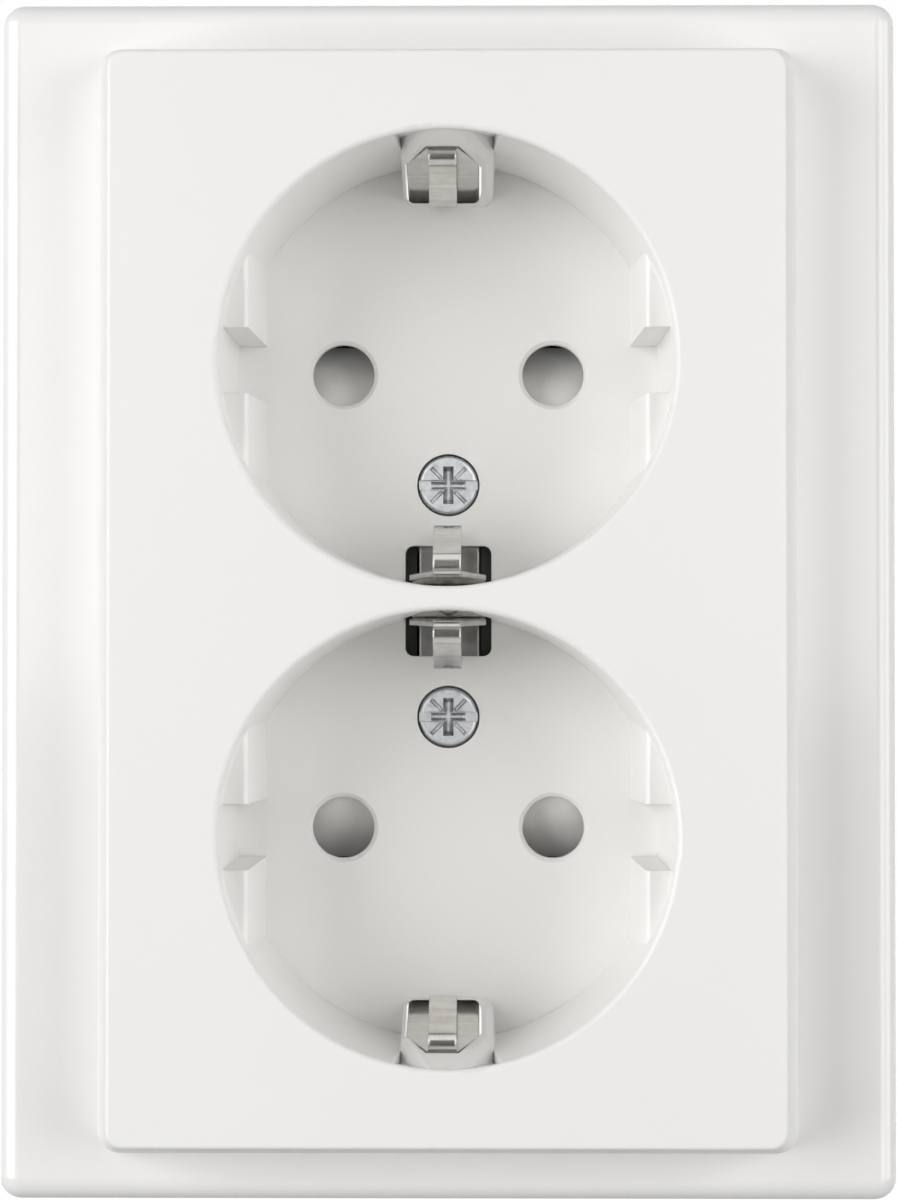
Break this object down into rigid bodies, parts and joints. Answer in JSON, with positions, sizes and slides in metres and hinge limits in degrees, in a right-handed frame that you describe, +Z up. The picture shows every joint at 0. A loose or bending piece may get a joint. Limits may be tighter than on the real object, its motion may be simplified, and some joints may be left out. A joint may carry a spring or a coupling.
{
  "type": "socket outlet",
  "caption": "Double earthed wall socket outlet with round cups, side earth clips, pin shutters, a cover frame and push-in wire terminals behind.",
  "frame": {"origin": "midway between the two box screws, on the wall surface", "axes": "+X right as seen from the room, +Y into the wall, +Z up"},
  "size_m": [0.079, 0.0518, 0.1054],
  "materials": {
    "frame_white": "glossy moulded thermoplastic",
    "plate_white": "satin to glossy moulded thermoplastic",
    "plated_screw": "zinc-plated steel",
    "earth_contact": "nickel-plated spring brass",
    "shutter_plastic": "slippery moulded plastic",
    "spring_steel": "bright spring steel strip",
    "carrier_plastic": "moulded thermoset",
    "plated_steel": "zinc-plated sheet steel",
    "contact_brass": "rolled brass strip",
    "button_plastic": "moulded plastic",
    "housing_plastic": "moulded thermoset"
  },
  "bodies": {
    "socket": {"cover_frame": "frame_white", "centre_plate": "plate_white", "cover_screws": "plated_screw", "earth_bridge": "earth_contact", "inner_earth_clips": "earth_contact", "earth_rivet": "plated_screw", "upper_shutter_springs": "spring_steel", "lower_shutter_springs": "spring_steel", "contact_carrier": "carrier_plastic", "support_yoke": "plated_steel", "line_rail": "contact_brass", "neutral_rail": "contact_brass", "line_clamp_spring": "spring_steel", "neutral_clamp_spring": "spring_steel", "earth_clamp_spring": "spring_steel", "rear_housing": "housing_plastic", "housing_screws": "plated_screw"},
    "earth_release_button_body": {"earth_release_button": "button_plastic"},
    "line_release_button_body": {"line_release_button": "button_plastic"},
    "lower_shutter_body": {"lower_shutter": "shutter_plastic"},
    "neutral_release_button_body": {"neutral_release_button": "button_plastic"},
    "upper_shutter_body": {"upper_shutter": "shutter_plastic"}
  },
  "joints": [
    {"name": "upper_shutter_slide", "type": "slide", "parent": "socket", "child": "upper_shutter_body", "axis": [0, 0, -1], "range_m": [0, 0.006], "stiffness_N_per_m": 60, "springref_m": -0.004, "deforming": ["upper_shutter_springs"]},
    {"name": "lower_shutter_slide", "type": "slide", "parent": "socket", "child": "lower_shutter_body", "axis": [0, 0, 1], "range_m": [0, 0.006], "stiffness_N_per_m": 60, "springref_m": -0.004, "deforming": ["lower_shutter_springs"]},
    {"name": "line_release_press", "type": "slide", "parent": "socket", "child": "line_release_button_body", "axis": [0, -1, 0], "range_m": [0, 0.0015], "stiffness_N_per_m": 1000, "deforming": ["line_clamp_spring"]},
    {"name": "neutral_release_press", "type": "slide", "parent": "socket", "child": "neutral_release_button_body", "axis": [0, -1, 0], "range_m": [0, 0.0015], "stiffness_N_per_m": 1000, "deforming": ["neutral_clamp_spring"]},
    {"name": "earth_release_press", "type": "slide", "parent": "socket", "child": "earth_release_button_body", "axis": [0, -1, 0], "range_m": [0, 0.0015], "stiffness_N_per_m": 1000, "deforming": ["earth_clamp_spring"]}
  ]
}
